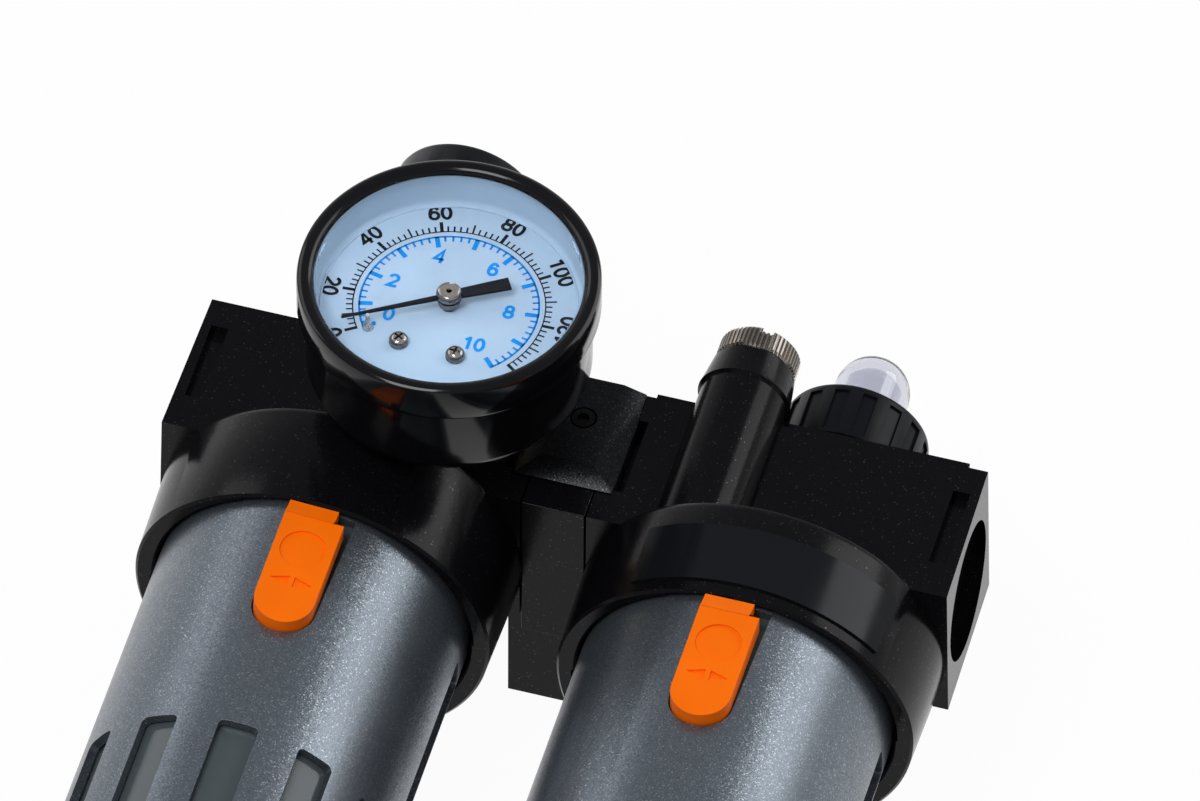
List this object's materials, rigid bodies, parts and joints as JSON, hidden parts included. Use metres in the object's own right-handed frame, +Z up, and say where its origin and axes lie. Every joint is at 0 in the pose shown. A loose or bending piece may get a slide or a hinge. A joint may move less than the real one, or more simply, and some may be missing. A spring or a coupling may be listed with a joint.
{
  "type": "filter regulator",
  "caption": "Compressed-air filter regulator with pressure gauge, joined to an oil lubricator; clear bowls in windowed guards, orange lock buttons, rear wall bracket.",
  "frame": {"origin": "on the wall face of the rear bracket, midway between the two units, level with the ports", "axes": "+X along the air flow from inlet to outlet, +Y into the wall, +Z up"},
  "size_m": [0.1438, 0.0948, 0.2058],
  "materials": {
    "black_painted_casting": "satin black paint",
    "silver_grey_paint": "silver grey metallic paint",
    "clear_bowl": "clear",
    "clear_dome": "clear",
    "orange_plastic": "satin",
    "black_plastic": "satin",
    "black_steel": "satin black",
    "dial_white": "matt",
    "steel": "plain",
    "brass": "plain",
    "rubber": "matt",
    "sintered_filter": "porous",
    "natural_plastic": "satin"
  },
  "bodies": {
    "housing": {"baffle": "black_plastic", "bonnet": "black_plastic", "bourdon_tube": "brass", "clamp_screw": "steel", "dial_screw_left": "steel", "dial_screw_right": "steel", "dome_seal": "rubber", "drip_tube": "brass", "filter_bowl_seal": "rubber", "filter_element": "sintered_filter", "front_clamp": "black_painted_casting", "gauge_bezel": "black_steel", "gauge_case": "black_steel", "gauge_dial": "dial_white", "gauge_lens": "clear_dome", "gauge_socket": "brass", "joint_seal_left": "rubber", "joint_seal_right": "rubber", "lubricator_body": "black_painted_casting", "lubricator_bowl_seal": "rubber", "rear_bracket": "black_painted_casting", "regulating_spring": "steel", "regulator_body": "black_painted_casting", "siphon_strainer": "sintered_filter", "siphon_tube": "natural_plastic", "valve_carrier": "natural_plastic", "valve_spring": "steel", "vane_plate": "black_plastic"},
    "screw_body": {"adjusting_screw": "steel"},
    "knob_body": {"adjusting_knob": "black_plastic"},
    "nut_body": {"spring_nut": "brass"},
    "piston_body": {"regulating_piston": "brass", "piston_ring": "rubber"},
    "valve_body": {"valve_stem": "brass"},
    "filter_bowl_body": {"filter_guard": "silver_grey_paint", "filter_bowl": "clear_bowl"},
    "filter_button_body": {"filter_lock_button": "orange_plastic"},
    "drain_body": {"drain_valve": "black_plastic"},
    "lubricator_bowl_body": {"lubricator_guard": "silver_grey_paint", "lubricator_bowl": "clear_bowl"},
    "lubricator_button_body": {"lubricator_lock_button": "orange_plastic"},
    "sight_body": {"dome_ring": "black_plastic", "sight_dome": "clear_dome"},
    "filler_seal_body": {"filler_seal": "rubber"},
    "filler_plug_body": {"filler_plug": "steel"},
    "pointer_body": {"gauge_pointer": "black_plastic"}
  },
  "joints": [
    {"name": "screw_turn", "type": "hinge", "parent": "housing", "child": "screw_body", "pos_m": [-0.0383, -0.037, 0.05], "axis": [0, 0, 1], "range_deg": [0, 1800]},
    {"name": "knob_lift", "type": "slide", "parent": "screw_body", "child": "knob_body", "axis": [0, 0, 1], "range_m": [0, 0.003]},
    {"name": "nut_travel", "type": "slide", "parent": "housing", "child": "nut_body", "axis": [0, 0, -1], "range_m": [0, 0.005], "deforming": ["regulating_spring"]},
    {"name": "piston_travel", "type": "slide", "parent": "housing", "child": "piston_body", "axis": [0, 0, -1], "range_m": [0, 0.0012], "stiffness_N_per_m": 1500},
    {"name": "valve_travel", "type": "slide", "parent": "housing", "child": "valve_body", "axis": [0, 0, -1], "range_m": [0, 0.0012], "stiffness_N_per_m": 400, "deforming": ["valve_spring"]},
    {"name": "filter_bowl_turn", "type": "hinge", "parent": "housing", "child": "filter_bowl_body", "pos_m": [-0.0383, -0.037, -0.06], "axis": [0, 0, 1], "range_deg": [0, 32]},
    {"name": "filter_button_press", "type": "slide", "parent": "filter_bowl_body", "child": "filter_button_body", "axis": [0, 1, 0], "range_m": [0, 0.001], "stiffness_N_per_m": 600},
    {"name": "drain_turn", "type": "hinge", "parent": "filter_bowl_body", "child": "drain_body", "pos_m": [-0.0383, -0.037, -0.135], "axis": [0, 0, 1], "range_deg": [0, 90]},
    {"name": "lubricator_bowl_turn", "type": "hinge", "parent": "housing", "child": "lubricator_bowl_body", "pos_m": [0.0383, -0.037, -0.06], "axis": [0, 0, 1], "range_deg": [0, 32]},
    {"name": "lubricator_button_press", "type": "slide", "parent": "lubricator_bowl_body", "child": "lubricator_button_body", "axis": [0, 1, 0], "range_m": [0, 0.001], "stiffness_N_per_m": 600},
    {"name": "sight_ring_turn", "type": "hinge", "parent": "housing", "child": "sight_body", "pos_m": [0.0427, -0.037, 0.025], "axis": [0, 0, 1], "range_deg": [0, 330]},
    {"name": "filler_plug_rise", "type": "slide", "parent": "housing", "child": "filler_seal_body", "axis": [0, 0, 1], "range_m": [0, 0.006]},
    {"name": "filler_plug_turn", "type": "hinge", "parent": "filler_seal_body", "child": "filler_plug_body", "pos_m": [0.0253, -0.0553, 0.025], "axis": [0, 0, 1], "range_deg": [0, 2160]},
    {"name": "pointer_turn", "type": "hinge", "parent": "housing", "child": "pointer_body", "pos_m": [-0.023, -0.089, 0], "axis": [0, 1, 0], "range_deg": [0, 255], "stiffness_Nm_per_rad": 0.0005}
  ],
  "couplings": [
    {"joint": "screw_turn", "follows": "nut_travel", "rad_per_m": 6283.2},
    {"joint": "valve_travel", "follows": "piston_travel", "ratio": 1},
    {"joint": "filler_plug_turn", "follows": "filler_plug_rise", "rad_per_m": 6283.2}
  ]
}
